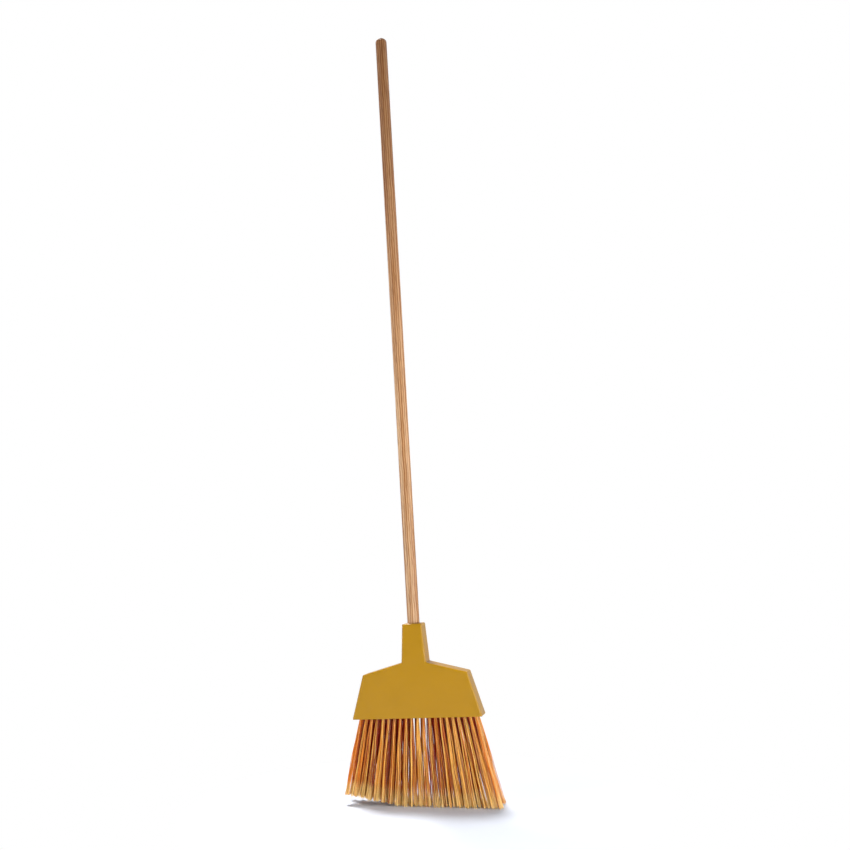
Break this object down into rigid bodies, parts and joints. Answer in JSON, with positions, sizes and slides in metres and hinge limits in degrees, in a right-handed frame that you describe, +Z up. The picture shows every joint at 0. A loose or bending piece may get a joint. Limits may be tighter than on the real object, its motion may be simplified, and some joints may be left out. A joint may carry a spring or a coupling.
{
  "type": "angle broom",
  "caption": "Angle broom: a fan of bristle tufts cut at a slant, a flared plastic head cap with a tapered neck, and a screw-in wooden handle.",
  "frame": {"origin": "on the floor, in the middle of the outline of the bristle tips", "axes": "+Z up, +X along the head towards the square end of the cut, -Y towards the head's front; the handle leans 1.57 degrees towards -X in the XZ plane"},
  "size_m": [0.2892, 0.0545, 1.4721],
  "materials": {
    "handle_wood": "satin",
    "cap_plastic": "satin",
    "tray_plastic": "matte",
    "bristle": "satin"
  },
  "bodies": {
    "head": {"head_cap": "cap_plastic", "tuft_tray": "tray_plastic", "tuft_column_01": "bristle", "tuft_column_02": "bristle", "tuft_column_03": "bristle", "tuft_column_04": "bristle", "tuft_column_05": "bristle", "tuft_column_06": "bristle", "tuft_column_07": "bristle", "tuft_column_08": "bristle", "tuft_column_09": "bristle", "tuft_column_10": "bristle", "tuft_column_11": "bristle", "tuft_column_12": "bristle", "tuft_column_13": "bristle", "tuft_column_14": "bristle", "tuft_column_15": "bristle", "tuft_column_16": "bristle", "tuft_column_17": "bristle", "tuft_column_18": "bristle", "tuft_column_19": "bristle", "tuft_column_20": "bristle", "tuft_column_21": "bristle"},
    "handle": {"handle_shaft": "handle_wood"}
  },
  "joints": [
    {"name": "handle_unscrew", "type": "slide", "parent": "head", "child": "handle", "axis": [-0.0274, 0, 0.9996], "range_m": [0, 0.066]}
  ]
}
